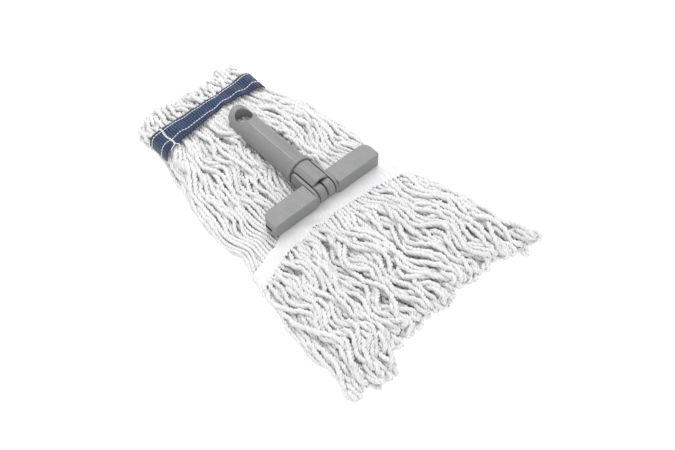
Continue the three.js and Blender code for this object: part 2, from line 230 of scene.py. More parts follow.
def yarn_material(name, tint=(0.975, 0.97, 0.98)):
    """Bleached cotton yarn: matt, with fine fibres along the plies."""
    m, nt, bsdf = new_material(name)
    oc = object_coords(nt)
    tone = node(nt, "ShaderNodeAttribute", attribute_name="yarn_tone_groove_shade")
    cloud = ramp(nt, noise(nt, oc, 30.0, 3.0), [(0.25, tuple(c * 0.955 for c in tint)), (0.75, tint)])
    fleck = ramp(nt, noise(nt, oc, 1400.0, 2.0), [(0.3, 0.93), (0.6, 1.0)])
    body = mix(nt, 1.0, cloud, fleck, "MULTIPLY")
    # the per-vertex tone: random per strand, with painted shade in the grooves between plies
    body = mix(nt, 1.0, body, tone.outputs["Color"], "MULTIPLY")
    link(nt, body, bsdf.inputs["Base Color"])
    bsdf.inputs["Roughness"].default_value = 0.95
    bsdf.inputs["Specular IOR Level"].default_value = 0.12
    bsdf.inputs["Sheen Weight"].default_value = 0.25
    bsdf.inputs["Sheen Roughness"].default_value = 0.5
    along = noise(nt, oc, 2600.0, 2.0)
    lumps = noise(nt, oc, 620.0, 3.0)
    n1 = bump(nt, along, 0.55, 0.00035)
    n2 = bump(nt, lumps, 0.5, 0.0006, n1)
    link(nt, n2, bsdf.inputs["Normal"])
    return m


def woven_height(nt, uv, nx, ny):
    """Height of a plain weave from UV: nx threads across, ny along."""
    sep = nt.nodes.new("ShaderNodeSeparateXYZ")
    link(nt, uv, sep.inputs[0])
    u = math_node(nt, "MULTIPLY", sep.outputs[0], nx * math.pi)
    v = math_node(nt, "MULTIPLY", sep.outputs[1], ny * math.pi)
    a = math_node(nt, "ABSOLUTE", math_node(nt, "SINE", u))
    b = math_node(nt, "ABSOLUTE", math_node(nt, "SINE", v))
    return math_node(nt, "MAXIMUM", a, b), a, b, sep


def tape_material():
    """Smooth white cotton-polyester tape, finely woven, with painted shade in the hollows between the threads."""
    m, nt, bsdf = new_material("headband_weave")
    uv = node(nt, "ShaderNodeAttribute", attribute_name="cloth_uv").outputs["Vector"]
    oc = object_coords(nt)
    h, a, b, _ = woven_height(nt, uv, 1000.0, 1000.0)  # uv is in metres: one thread each millimetre
    tone = ramp(nt, noise(nt, oc, 45.0, 4.0), [(0.3, (0.79, 0.79, 0.80)), (0.7, (0.86, 0.86, 0.87))])
    # painted shade: the weave's hollows darkened to 0.90
    weave_hollow_shade = ramp(nt, h, [(0.3, 0.90), (0.9, 1.0)])
    link(nt, mix(nt, 1.0, tone, weave_hollow_shade, "MULTIPLY"), bsdf.inputs["Base Color"])
    bsdf.inputs["Roughness"].default_value = 0.85
    bsdf.inputs["Specular IOR Level"].default_value = 0.18
    bsdf.inputs["Sheen Weight"].default_value = 0.2
    n1 = bump(nt, h, 0.55, 0.0003)
    n2 = bump(nt, noise(nt, oc, 500.0, 3.0), 0.35, 0.0004, n1)
    link(nt, n2, bsdf.inputs["Normal"])
    return m


def navy_material():
    """Navy ribbed webbing: dark smooth selvedges, ribs across the middle with painted shade in their valleys and
    between the picks, pale flecks where white core shows.
    """
    m, nt, bsdf = new_material("navy_webbing")
    uv = node(nt, "ShaderNodeAttribute", attribute_name="cloth_uv").outputs["Vector"]
    oc = object_coords(nt)
    drift = node(nt, "ShaderNodeTexNoise", Scale=170.0, Detail=1.0)
    link(nt, uv, drift.inputs["Vector"])
    shove = nt.nodes.new("ShaderNodeVectorMath")
    shove.operation = "MULTIPLY_ADD"
    link(nt, drift.outputs["Color"], shove.inputs[0])
    shove.inputs[1].default_value = (0.0022, 0.0, 0.0)
    link(nt, uv, shove.inputs[2])
    h, a, b, sep = woven_height(nt, shove.outputs[0], 345.0, 1250.0)  # ribs every 3 mm, picks every 0.8 mm
    core = ramp(nt, sep.outputs[1], [(0.0062, 0.0), (0.0074, 1.0), (0.0212, 1.0), (0.0224, 0.0)])
    # painted shade: the valleys of the ribs painted near black against lighter tops, and the gaps between picks darker
    rib_shading = ramp(nt, a, [(0.25, 0.0), (0.85, 1.0)])
    fine = ramp(nt, b, [(0.1, 0.72), (0.8, 1.0)])
    dark = mix(nt, rib_shading, (0.003, 0.006, 0.022), (0.058, 0.100, 0.225))
    edge = mix(nt, noise(nt, oc, 700.0, 3.0), (0.014, 0.024, 0.070), (0.056, 0.086, 0.190))
    body = mix(nt, core, edge, dark)
    body = mix(nt, 1.0, body, fine, "MULTIPLY")
    stretched = node(nt, "ShaderNodeMapping", Scale=(420.0, 2600.0, 1.0))
    link(nt, uv, stretched.inputs["Vector"])
    fleck = ramp(nt, noise(nt, stretched.outputs[0], 1.0, 2.0), [(0.60, 0.0), (0.74, 0.55)])
    body = mix(nt, fleck, body, (0.30, 0.37, 0.55))
    faded = ramp(nt, noise(nt, oc, 60.0, 3.0), [(0.3, 0.62), (0.7, 0.92)])
    body = mix(nt, 1.0, body, faded, "MULTIPLY")
    link(nt, body, bsdf.inputs["Base Color"])
    bsdf.inputs["Roughness"].default_value = 0.88
    bsdf.inputs["Specular IOR Level"].default_value = 0.2
    bsdf.inputs["Sheen Weight"].default_value = 0.3
    n1 = bump(nt, a, 0.8, 0.0009)
    n2 = bump(nt, noise(nt, oc, 1200.0, 2.0), 0.3, 0.0003, n1)
    link(nt, n2, bsdf.inputs["Normal"])
    return m


def stitch_material():
    m, nt, bsdf = new_material("white_thread")
    oc = object_coords(nt)
    link(nt, ramp(nt, noise(nt, oc, 900.0, 2.0), [(0.3, (0.74, 0.75, 0.78)), (0.7, (0.92, 0.92, 0.94))]), bsdf.inputs["Base Color"])
    bsdf.inputs["Roughness"].default_value = 0.7
    bsdf.inputs["Sheen Weight"].default_value = 0.2
    link(nt, bump(nt, noise(nt, oc, 3500.0, 2.0), 0.5, 0.0002), bsdf.inputs["Normal"])
    return m


GREY = (0.236, 0.238, 0.237)
PLASTIC_A = plastic_material("moulded_plastic", GREY, 1.0)
PLASTIC_C = plastic_material("moulded_plastic_slot_shade", GREY, 1.0, slot=True)
PLASTIC_B = plastic_material("moulded_plastic_post", tuple(c * 0.985 for c in GREY), 4.0, ridge=True)
STEEL = steel_material()
YARN = yarn_material("cotton_yarn")
TAPE = tape_material()
NAVY = navy_material()
THREAD = stitch_material()

# ------------------------------------------------------------------ hard parts: CAD nodes, rounded and finished
smooth_group = bpy.data.node_groups.new("shade_smooth", "GeometryNodeTree")
smooth_group.interface.new_socket("Geometry", in_out="INPUT", socket_type="NodeSocketGeometry")
smooth_group.interface.new_socket("Geometry", in_out="OUTPUT", socket_type="NodeSocketGeometry")
_i = smooth_group.nodes.new("NodeGroupInput")
_s = smooth_group.nodes.new("GeometryNodeSetShadeSmooth")
_o = smooth_group.nodes.new("NodeGroupOutput")
smooth_group.links.new(_i.outputs[0], _s.inputs[0])
smooth_group.links.new(_s.outputs[0], _o.inputs[0])


def finish_hard(name, mat, width, segments=2, angle=28, dissolve=True):
    o = NODES[name]
    o.data.materials.clear()
    o.data.materials.append(mat)
    w = o.modifiers.new("weld", "WELD")
    w.merge_threshold = 0.00002
    if dissolve:
        d = o.modifiers.new("planar", "DECIMATE")
        d.decimate_type = "DISSOLVE"
        d.angle_limit = math.radians(0.6)
    if width:
        b = o.modifiers.new("bevel", "BEVEL")
        b.width = width
        b.segments = segments
        b.limit_method = "ANGLE"
        b.angle_limit = math.radians(angle)
        b.use_clamp_overlap = True
        b.miter_outer = "MITER_ARC"
        b.harden_normals = False
    g = o.modifiers.new("smooth", "NODES")
    g.node_group = smooth_group
    t = o.modifiers.new("triangles", "TRIANGULATE")
    t.min_vertices = 5
    n = o.modifiers.new("normals", "WEIGHTED_NORMAL")
    n.weight = 60
    n.keep_sharp = False


HARD = {
    "wing_cover_left": (PLASTIC_C, 0.0003),
    "wing_cover_right": (PLASTIC_A, 0.0006),
    "base_bar": (PLASTIC_A, 0.0003),
    "ear_left": (PLASTIC_A, 0.0004),
    "ear_right": (PLASTIC_A, 0.0004),
    "clamp_plate": (PLASTIC_A, 0.0003),
    "connector_post": (PLASTIC_B, 0.0006),
    "neck": (PLASTIC_B, 0.0005),
    "knuckle_left": (PLASTIC_B, 0.0004),
    "knuckle_right": (PLASTIC_B, 0.0004),
    "hinge_pin": (STEEL, 0.0002),
    "clamp_screw_1": (STEEL, 0.0002),
    "clamp_screw_2": (STEEL, 0.0002),
    "clamp_screw_3": (STEEL, 0.0002),
    "clamp_screw_4": (STEEL, 0.0002),
}
for _name, (_mat, _w) in HARD.items():
    finish_hard(_name, _mat, _w, dissolve=not _name.startswith("wing"))

# ------------------------------------------------------------------ yarn layout
YARN_R = {"near": 2.68, "far": 2.58}  # drawn radius of a relaxed yarn
CONTACT = {"near": 4.5, "far": 4.2}  # centre distance at which two yarns press on each other
STEP = 3.2


def lerp_table(xs, ys, x):
    return np.interp(x, xs, ys)


def smoothstep(a, b, x):
    t = np.clip((x - a) / (b - a), 0, 1)
    return t * t * (3 - 2 * t)


class Waves:
    """Smooth random field of a plan position, unit amplitude, from plane waves."""

    def __init__(self, seed, along, across, count=10):
        r = np.random.default_rng(seed)
        self.kx = 2 * np.pi / r.uniform(*across, count) * r.choice([-1, 1], count)
        self.ky = 2 * np.pi / r.uniform(*along, count)
        self.p = r.uniform(0, 2 * np.pi, count)
        self.a = r.uniform(0.6, 1.0, count)
        self.a /= np.sqrt((self.a**2).sum() / 2)

    def __call__(self, x, y, extra=0.0):
        s = np.zeros(np.broadcast(x, y).shape)
        for kx, ky, p, a in zip(self.kx, self.ky, self.p, self.a):
            s = s + a * np.sin(kx * x + ky * y + p + extra)
        return s


def strand_wave(r, s, lengths, amp):
    w = np.zeros_like(s)
    for lam, a in zip(lengths, amp):
        w += a * r.uniform(0.5, 1.0) * np.sin(2 * np.pi * s / (lam * r.uniform(0.8, 1.25)) + r.uniform(0, 2 * np.pi))
    return w


# plan outlines of the two halves, row frame, mm
NEAR_L = ([-190, -175, -160, -148, -134, -110, -87, -68, -46, -30, -2, 20], [-125, -124, -120, -119, -121, -118, -113, -111, -106, -104, -101, -101])
NEAR_R = ([-185, -175, -160, -150, -144, -132, -111, -87, -66, -47, -34, -2], [131, 131, 129, 127, 122, 119, 113, 109, 103, 99, 93, 90])
FAR_L = ([-2, 18, 35, 60, 83, 106, 126, 138, 150, 164, 176, 190, 205], [-101, -105, -104, -99, -94, -89, -86, -81, -80, -80, -84, -86, -85])
FAR_R = ([-2, 20, 52, 75, 97, 110, 119, 135, 149, 166, 185, 205], [90, 89, 84, 82, 80, 74, 67, 57, 53, 52, 57, 57])
FRINGE = ([-130, -124, -116, -107, -95, -83, -71, -67, -52, -39, -25, -10, 5, 18, 32, 46, 58, 70, 80, 88, 100, 108, 115, 122, 132], [-180, -186, -191, -186, -196, -194, -187, -178, -174, -172, -170, -173, -174, -171, -168, -171, -172, -172, -173, -178, -179, -175, -180, -184, -180])
TAIL = ([-100, -92, -84, -78, -70, -60, -50, -40, -22, -8, 5, 20, 31, 45, 55, 62], [176, 186, 191, 195, 198, 198, 205, 205, 200, 201, 195, 199, 205, 201, 200, 192])


def near_height(x, y):
    h = lerp_table([-200, -185, -172, -150, -115, -60, -30, -24, 0], [9, 11.5, 14.5, 21, 21, 18.5, 15.5, 14.0, 13.6], y)
    l, r = lerp_table(*NEAR_L, y), lerp_table(*NEAR_R, y)
    side = np.minimum(x - l, r - x)
    return h * (0.50 + 0.50 * smoothstep(-4, 24, side))


def far_height(x, y):
    h = lerp_table([0, 12, 30, 50, 95, 130, 141, 168, 176, 190, 205], [13.6, 14.4, 17.5, 18, 20, 22, 24.4, 24.6, 22, 14, 7], y)
    l, r = lerp_table(*FAR_L, y), lerp_table(*FAR_R, y)
    side = np.minimum(x - l, r - x)
    full = smoothstep(126, 138, y) * (1 - smoothstep(168, 180, y))
    h = h * (0.55 + 0.30 * full + (0.45 - 0.30 * full) * smoothstep(-4, 22, side))
    off = np.abs(x - SX)
    axis = HINGE_Z - (y - SY) * math.sin(DROOP)
    under = axis - 14.6 + 14.2 * smoothstep(98, 106, y)
    post = np.where(y < 134, np.where(off < 13, under, under + (off - 13) * 0.75 + 2.4), 60)
    return np.minimum(h, np.maximum(post, 5.0))


def loop_guides(half, seed):
    """Centre-line targets of every loop of one half: list of (points, u, layer)."""
    r = np.random.default_rng(seed)
    sgn = -1.0 if half == "near" else 1.0
    L, R = (NEAR_L, NEAR_R) if half == "near" else (FAR_L, FAR_R)
    tips, height = (FRINGE, near_height) if half == "near" else (TAIL, far_height)
    columns, layers = 46, 3
    clump_x = Waves(seed + 11, (40, 90), (45, 120))
    clump_u = Waves(seed + 12, (120, 260), (80, 200))
    clump_z = Waves(seed + 13, (40, 80), (25, 60))
    out = []
    for layer in range(layers):
        for c in range(columns // 2):
            cc = [2 * c, 2 * c + 1]
            shift = (0.0, 0.5, 0.25)[layer]
            u_pair = [(k + 0.5 + 0.35 * (shift - 0.25)) / columns for k in cc]
            w0 = (0.10, 0.5, 0.90)[layer]
            u_mid = sum(u_pair) / 2
            # tip
            x_tip0 = lerp_table(*L, sgn * 170) + u_mid * (lerp_table(*R, sgn * 170) - lerp_table(*L, sgn * 170))
            y_out = lerp_table(*tips, x_tip0)
            back_off = {0: 1.0, 1: 2.0, 2: 4.0}[layer] + abs(r.normal(0, 3.0))
            if half == "far":
                back_off = {0: 2.0, 1: 0.5, 2: 5.0}[layer] + abs(r.normal(0, 4.2))
            y_tip = y_out - sgn * back_off
            twist = r.choice([-1, 1]) * (r.uniform(0.35, 1.05) if half == "near" else r.uniform(0.15, 0.55))
            legs = []
            wide = 0.055 if r.random() < 0.28 else 0.022
            drift = [r.uniform(-wide, wide)] * 2
            drift = [v + r.uniform(-0.008, 0.008) for v in drift]
            period, start = r.uniform(110, 210), r.uniform(0, 6)
            wv = r.uniform(-0.16, 0.16)
            phase = layer * 1.9 + r.normal(0, 0.5)
            y0 = -2.0 - sgn * 2.5
            x_in = lerp_table(*L, -2) + u_mid * (lerp_table(*R, -2) - lerp_table(*L, -2))
            early = max(smoothstep(-62, -72, x_in), smoothstep(76, 84, x_in))
            n = 260
            t = np.linspace(0, 1, n)
            y = y0 + (y_tip - y0) * t
            s = np.maximum(0.0, sgn * (y + 2.0))
            d = np.abs(y_tip - y)  # distance from the tip
            free = smoothstep(12 - 8 * early, 46 - 16 * early, s)
            amp_far = 0.8 if half == "far" else 1.0
            if half == "far":
                free = free * (1 - 0.85 * smoothstep(118, 140, y) * (1 - smoothstep(170, 186, y)))
            ux = lerp_table(*L, y), lerp_table(*R, y)
            centre = []
            for k in (0, 1):
                u = u_pair[k] + drift[k] * smoothstep(16, 90, s) * np.sin(2 * np.pi * s / period + start + 0.35 * k)
                u = u + 0.016 * clump_u(ux[0] + u * (ux[1] - ux[0]), y, phase) * free
                u = np.clip(u, 0.0, 1.0)
                x = ux[0] + 3.0 + u * (ux[1] - ux[0] - 6.0)
                base_x = x.copy()
                calm = 0.35 + 0.65 * smoothstep(0.0, 0.12, np.minimum(u, 1 - u))
                x = x + free * calm * amp_far * 3.6 * clump_x(base_x, y, phase)
                x = x + free * calm * strand_wave(r, s, (18, 32, 57), (1.1, 2.2, 2.5)) * (0.92 if half == "far" else 1.0)
                H = height(x, y)
                w = np.clip(w0 + wv + 0.22 * free * np.sin(2 * np.pi * s / r.uniform(70, 130) + r.uniform(0, 6)), 0.0, 1.0)
                w = w0 + (w - w0) * smoothstep(10, 45, s)
                lo_z = 4.9 + (2.35 - 4.9) * smoothstep(24, 55, s)
                z = lo_z + w * (H - 2.3 - lo_z) + free * 0.8 * clump_z(base_x, y, phase * 2)
                centre.append(np.stack([x, y, z], 1))
            mid = (centre[0] + centre[1]) / 2
            half_off = (centre[1] - centre[0]) / 2
            own = smoothstep(10, 44, d)[:, None]
            # teardrop towards the tip
            wide_tip = [0.0, 1.5, 2.6, 3.4, 3.6, 3.1, 2.3, 2.25, 2.3] if half == "near" else [0.0, 2.3, 4.0, 5.6, 6.4, 5.8, 3.6, 2.3, 2.3]
            prof = np.interp(d, [0, 0.6, 1.6, 3.2, 5.5, 9, 15, 24, 60], wide_tip)
            ang = twist * 2 * np.pi * np.clip(1 - d / 44, 0, 1)
            lean = r.uniform(-0.9, 0.9)
            off_dir = np.stack([np.cos(ang + lean * (1 - own[:, 0])), np.zeros(n), np.sin(ang + lean * (1 - own[:, 0]))], 1)
            # tips droop to the floor and curl sideways
            z_tip = 3.0 + w0 * (7.0 if half == "near" else 12.0) + r.uniform(-0.5, 2.0 if half == "near" else 5.0)
            drop = 1 - smoothstep(0, 26, d)
            mid[:, 2] = mid[:, 2] * (1 - drop) + np.minimum(mid[:, 2], z_tip) * drop
            curl = r.normal(0, 4.0 if half == "near" else 6.5)
            if half == "far" and (x_tip0 < -62 or x_tip0 > 40):  # the outer loops turn in
                curl = abs(curl) + 2.0 if x_tip0 < 0 else -abs(curl)
            mid[:, 0] += curl * (1 - smoothstep(0, 30, d))
            for k, sg in ((0, -1), (1, 1)):
                legs.append(mid + own * half_off * sg + (1 - own) * off_dir * prof[:, None] * sg)
            path = np.concatenate([legs[0], legs[1][::-1]])
            seg = np.linalg.norm(np.diff(path, axis=0), axis=1)
            arc = np.r_[0, np.cumsum(seg)]
            m = int(arc[-1] / STEP) + 1
            q = np.linspace(0, arc[-1], m)
            pts = np.stack([np.interp(q, arc, path[:, i]) for i in range(3)], 1)
            out.append((pts, u_mid, layer))
    return out


def colliding_pairs(P, reach):
    cell = np.floor(P / reach).astype(np.int64)
    cell -= cell.min(0) - 1
    dims = cell.max(0) + 3
    key = (cell[:, 0] * dims[1] + cell[:, 1]) * dims[2] + cell[:, 2]
    order = np.argsort(key, kind="stable")
    ks = key[order]
    I, J = [], []
    ids = np.arange(len(P))
    for dx in (-1, 0, 1):
        for dy in (-1, 0, 1):
            for dz in (-1, 0, 1):
                if (dx, dy, dz) < (0, 0, 0):
                    continue
                k2 = key + (dx * dims[1] + dy) * dims[2] + dz
                lo = np.searchsorted(ks, k2, "left")
                hi = np.searchsorted(ks, k2, "right")
                cnt = hi - lo
                i = np.repeat(ids, cnt)
                start = np.repeat(lo - np.r_[0, np.cumsum(cnt)[:-1]], cnt) + np.arange(cnt.sum())
                j = order[start]
                if dx == dy == dz == 0:
                    keep = i < j
                    i, j = i[keep], j[keep]
                I.append(i)
                J.append(j)
    i, j = np.concatenate(I), np.concatenate(J)
    d = P[i] - P[j]
    keep = (d * d).sum(1) < reach * reach
    return i[keep], j[keep]


def head_edges(x):
    """Front and rear edge of the upper headband tape in y."""
    front = np.interp(x, [-109, -99, -84, -68, -48, -21, 4, 40, 62, 78, 98], [-46, -43, -37, -32, -28.5, -26.5, -26, -28, -31, -34, -37])
    rear = np.interp(x, [-109, -98, -84, -70, -60, -52, -44, 74, 82, 98], [-26, -23.5, -20.5, -17.5, -12, -3, 8.6, 8.6, 5, -8])
    return front, rear


def head_level(x):
    """Outer height of the upper headband tape."""
    edge = smoothstep(-76, -104, x) + smoothstep(80, 94, x)
    return 14.45 - 6.0 * edge - 4.6 * (smoothstep(-102, -107, x) + smoothstep(91, 96, x))


def push_out(P, rad, half):
    """Keeps yarn clear of the floor, the bar and the post, and between the tapes."""
    x, y, z = P[:, 0], P[:, 1], P[:, 2]
    # bar, ears and clamp above
    zone = (x > -66) & (x < 74) & (y > -13.5) & (y < 11.5)
    z[zone] = np.minimum(z[zone], 13.4 - rad[zone])
    ends = (x > -73) & (x < 80) & (y > -16) & (y < 14)
    z[ends] = np.minimum(z[ends], 14.2 - rad[ends])
    front, rear = head_edges(x)
    tape = (y > front - 0.5) & (y < rear + 1.0)
    z[tape] = np.minimum(z[tape], head_level(x[tape]) - 0.95 - rad[tape])
    held = (y > -27) & (y < 9.5)
    z[held] = np.maximum(z[held], 3.5 + rad[held])
    if half == "far":
        # the post's scooped tip: yarn passes under it
        c, sn = math.cos(DROOP), math.sin(DROOP)
        s = (y - SY) * c - (z - HINGE_Z) * sn
        h = (y - SY) * sn + (z - HINGE_Z) * c
        roof = -14.6 + 14.6 * np.clip((s - 100.5) / 8.0, 0, 1)
        tip = (s > 100.5) & (s < 136) & (np.abs(x - SX) < 15.2) & (h < roof + 5.5)
        z[tip] = np.minimum(z[tip], z[tip] - np.maximum(0, h[tip] - (roof[tip] - rad[tip] - 0.15)))
        ear = (np.abs(x - SX) < 16.5) & (y < 30.5)
        z[ear] = np.minimum(z[ear], 16.2 - rad[ear])
        # neck and post
        c, sn = math.cos(DROOP), math.sin(DROOP)
        ax = x - SX
        yy, zz = y - SY, z - HINGE_Z
        s = yy * c - zz * sn
        h = yy * sn + zz * c
        R = np.where(s < 31.5, 13.4, np.where(s < 38.5, 15.5, 13.9)) + rad + 0.15
        R = np.where(s > 119, 15.6 + rad + 0.15, R)
        near_tip = s > 119
        dist = np.sqrt(ax**2 + h**2 + np.where(near_tip, (s - 119) ** 2, 0))
        hit = (dist < R) & (s > 11) & (s < 119 + 16 + 3) & ~((s > 100.5) & (h < roof + 0.5))
        over = np.where(hit, (R - dist), 0)
        nx = np.where(np.abs(ax) < 0.4, np.sign(ax + 1e-6) * 0.4, ax) / np.maximum(dist, 1e-3)
        nh = h / np.maximum(dist, 1e-3)
        ns = np.where(near_tip, (s - 119) / np.maximum(dist, 1e-3), 0)
        x += over * nx
        y += over * (ns * c + nh * sn)
        z += over * (nh * c - ns * sn)
        band = (y > 140.5) & (y < 167.5)
        z[band] = np.minimum(z[band], 24.4 - rad[band])
        z[band] = np.maximum(z[band], 2.0 + rad[band])
    z[:] = np.maximum(z, rad + 0.05)


def settle(half, seed, rounds=90):
    guides = loop_guides(half, seed)
    P = np.concatenate([g[0] for g in guides])
    sizes = [len(g[0]) for g in guides]
    starts = np.r_[0, np.cumsum(sizes)]
    strand = np.repeat(np.arange(len(guides)), sizes)
    T = P.copy()
    inner = np.ones(len(P), bool)
    inner[starts[:-1]] = False
    inner[starts[1:] - 1] = False
    a = np.flatnonzero(strand[:-1] == strand[1:])  # segments a -> a+1
    rest = np.linalg.norm(P[a + 1] - P[a], axis=1)
    # yarn is pressed thin in the headband and a little in the tail band
    s_from = np.abs(P[:, 1] + 2.0)
    thin = 1 - 0.20 * (1 - smoothstep(20, 50, s_from))
    if half == "far":
        thin = thin * (1 - 0.08 * smoothstep(132, 142, P[:, 1]) * (1 - smoothstep(168, 178, P[:, 1])))
    gap = CONTACT[half]
    rad = thin * gap / 2
    loose = np.maximum(smoothstep(-64, -74, P[:, 0]), smoothstep(78, 86, P[:, 0]))
    fixed = s_from < 9 - 4.5 * loose
    ids = np.arange(len(P))
    pull = 0.045
    for it in range(rounds):
        if it % 5 == 0:
            i, j = colliding_pairs(P, gap + 1.6)
            keep = ~((strand[i] == strand[j]) & (np.abs(i - j) < 4))
            i, j = i[keep], j[keep]
        k = pull * (1 - it / rounds) + 0.004
        P[:, :2] += k * (T[:, :2] - P[:, :2])
        P[:, 2] += 0.6 * k * (T[:, 2] - P[:, 2])
        P[:, 2] -= 0.035
        d = P[i] - P[j]
        dist = np.sqrt((d * d).sum(1)) + 1e-6
        need = rad[i] + rad[j] - dist
        hit = need > 0
        ii, jj, nn, dd = i[hit], j[hit], need[hit], d[hit] / dist[hit][:, None]
        corr = 0.42 * nn[:, None] * dd
        cnt = np.bincount(ii, minlength=len(P)) + np.bincount(jj, minlength=len(P))
        for ax in range(3):
            mv = np.bincount(ii, corr[:, ax], len(P)) - np.bincount(jj, corr[:, ax], len(P))
            P[:, ax] += mv / np.maximum(1, cnt * 0.55)
        for par in (0, 1, 0, 1):
            sel = a[(a % 2) == par]
            rr = rest[(a % 2) == par]
            e = P[sel + 1] - P[sel]
            L = np.linalg.norm(e, axis=1)
            cor = (0.5 * (L - rr) / np.maximum(L, 1e-6))[:, None] * e
            P[sel] += cor
            P[sel + 1] -= cor
        # bending: yarn keeps a smooth line
        lap = np.zeros_like(P)
        mids = ids[1:-1][(strand[:-2] == strand[2:])]
        lap[mids] = (P[mids - 1] + P[mids + 1]) / 2 - P[mids]
        P += 0.16 * lap
        P[fixed] = T[fixed]
        push_out(P, rad, half)
    for _ in range(2):
        lap = np.zeros_like(P)
        lap[mids] = (P[mids - 1] + P[mids + 1]) / 2 - P[mids]
        P += 0.3 * lap
        push_out(P, rad, half)
    return [(P[starts[k]:starts[k + 1]], thin[starts[k]:starts[k + 1]], guides[k][1], guides[k][2]) for k in range(len(guides))]


# ------------------------------------------------------------------ yarn meshes
RING = 12
RING_STEP = 1.75
PITCH = 16.5
_ang = np.arange(RING) * 2 * np.pi / RING
_lobe = np.where(np.arange(RING) % 3 == 0, 0.63, 1.0)  # four plies with grooves between them
# painted shade: the groove vertices between plies get a darker tone, 0.86
_groove_shade = np.where(np.arange(RING) % 3 == 0, 0.86, 1.0)


def resample(pts, thin):
    seg = np.linalg.norm(np.diff(pts, axis=0), axis=1)
    arc = np.r_[0, np.cumsum(seg)]
    m = max(8, int(arc[-1] / RING_STEP))
    q = np.linspace(0, arc[-1], m)
    # cubic through the particles
    n = len(pts)
    k = np.clip(np.searchsorted(arc, q, "right") - 1, 0, n - 2)
    f = ((q - arc[k]) / np.maximum(arc[k + 1] - arc[k], 1e-6))[:, None]
    p0, p1 = pts[np.maximum(k - 1, 0)], pts[k]
    p2, p3 = pts[k + 1], pts[np.minimum(k + 2, n - 1)]
    c = 0.5 * ((2 * p1) + (p2 - p0) * f + (2 * p0 - 5 * p1 + 4 * p2 - p3) * f**2 + (3 * p1 - p0 - 3 * p2 + p3) * f**3)
    return c, np.interp(q, arc, thin), q


def tube(c, thin, q, r, full):
    """Vertices, faces and tone of one twisted four-ply yarn; the tone carries painted shade in the grooves between
    plies.
    """
    n = len(c)
    t = np.gradient(c, axis=0)
    t /= np.linalg.norm(t, axis=1, keepdims=True)
    u = np.zeros_like(c)
    ref = np.array([0.0, 0.0, 1.0]) if abs(t[0, 2]) < 0.9 else np.array([1.0, 0, 0])
    v = np.cross(t[0], ref)
    u[0] = v / np.linalg.norm(v)
    for i in range(1, n):
        p = u[i - 1] - t[i] * (u[i - 1] @ t[i])
        u[i] = p / np.linalg.norm(p)
    w = np.cross(t, u)
    turn = 2 * np.pi * q / (PITCH * r.uniform(0.9, 1.12)) + r.uniform(0, 2 * np.pi)
    size = full * thin * (1 + 0.045 * np.sin(2 * np.pi * q / r.uniform(17, 29) + r.uniform(0, 6)) + 0.03 * r.standard_normal(n))
    a = turn[:, None] + _ang[None]
    rad = size[:, None] * _lobe[None] * (1 + 0.035 * r.standard_normal((n, RING)))
    # rounded closed ends
    rad[0] *= 0.55
    rad[-1] *= 0.55
    V = c[:, None] + rad[..., None] * (np.cos(a)[..., None] * u[:, None] + np.sin(a)[..., None] * w[:, None])
    V = V.reshape(-1, 3)
    V[:, 2] = np.maximum(V[:, 2], 0.05)
    base = np.arange(n - 1)[:, None] * RING + np.arange(RING)[None]
    nxt = np.arange(n - 1)[:, None] * RING + (np.arange(RING)[None] + 1) % RING
    F = np.stack([base, nxt, nxt + RING, base + RING], -1).reshape(-1, 4)
    tone = np.tile(_groove_shade, n) * (1 - 0.05 * r.random(n * RING)) * r.uniform(0.95, 1.0)
    caps = [list(range(RING))[::-1], [(n - 1) * RING + k for k in range(RING)]]
    return V, F, tone, caps


def build_mesh(name, V, quads, mat, tone=None, ngons=(), uv=None):
    me = bpy.data.meshes.new(name)
    me.vertices.add(len(V))
    me.vertices.foreach_set("co", (V * MM).astype(np.float32).ravel())
    nq, ng = len(quads), len(ngons)
    loops = np.concatenate([quads.ravel()] + [np.array(g) for g in ngons]) if ng else quads.ravel()
    me.loops.add(len(loops))
    me.loops.foreach_set("vertex_index", loops.astype(np.int32))
    counts = np.r_[np.full(nq, 4), [len(g) for g in ngons]].astype(np.int32)
    me.polygons.add(nq + ng)
    me.polygons.foreach_set("loop_start", np.r_[0, np.cumsum(counts)[:-1]].astype(np.int32))
    me.polygons.foreach_set("loop_total", counts)
    me.polygons.foreach_set("use_smooth", np.ones(nq + ng, bool))
    me.update(calc_edges=True)
    me.validate()
    if tone is not None:
        at = me.attributes.new("yarn_tone_groove_shade", "FLOAT_COLOR", "POINT")
        col = np.ones((len(V), 4), np.float32)
        col[:, :3] = np.asarray(tone)[:, None]
        at.data.foreach_set("color", col.ravel())
    if uv is not None:
        at = me.attributes.new("cloth_uv", "FLOAT_VECTOR", "POINT")
        at.data.foreach_set("vector", uv.astype(np.float32).ravel())
    o = bpy.data.objects.new(name, me)
    scene.collection.objects.link(o)
    me.materials.append(mat)
    return o


def yarn_piece(name, strands, r, half):
    Vs, Fs, Ts, caps, base = [], [], [], [], 0
    for pts, thin in strands:
        c, th, q = resample(pts, thin)
        # the short kinks that tight twist leaves in a slack yarn
        slack = smoothstep(22, 40, np.abs(c[:, 1] + 2.0))
        if half == "far":
            slack = slack * (1 - 0.8 * smoothstep(134, 141, c[:, 1]) * (1 - smoothstep(167, 173, c[:, 1])))
        for ax, size in ((0, 0.30), (1, 0.14), (2, 0.20)):
            for lam in (9.0, 14.0):
                c[:, ax] += slack * size * np.sin(2 * np.pi * q / (lam * r.uniform(0.85, 1.2)) + r.uniform(0, 6.3) + 1.2 * np.sin(q / 23.0))
        V, F, tone, cp = tube(c, th, q, r, YARN_R[half])
        Vs.append(V)
        Fs.append(F + base)
        Ts.append(tone)
        caps += [[k + base for k in g] for g in cp]
        base += len(V)
    o = build_mesh(name, np.concatenate(Vs), np.concatenate(Fs), YARN, np.concatenate(Ts), caps)
    return o


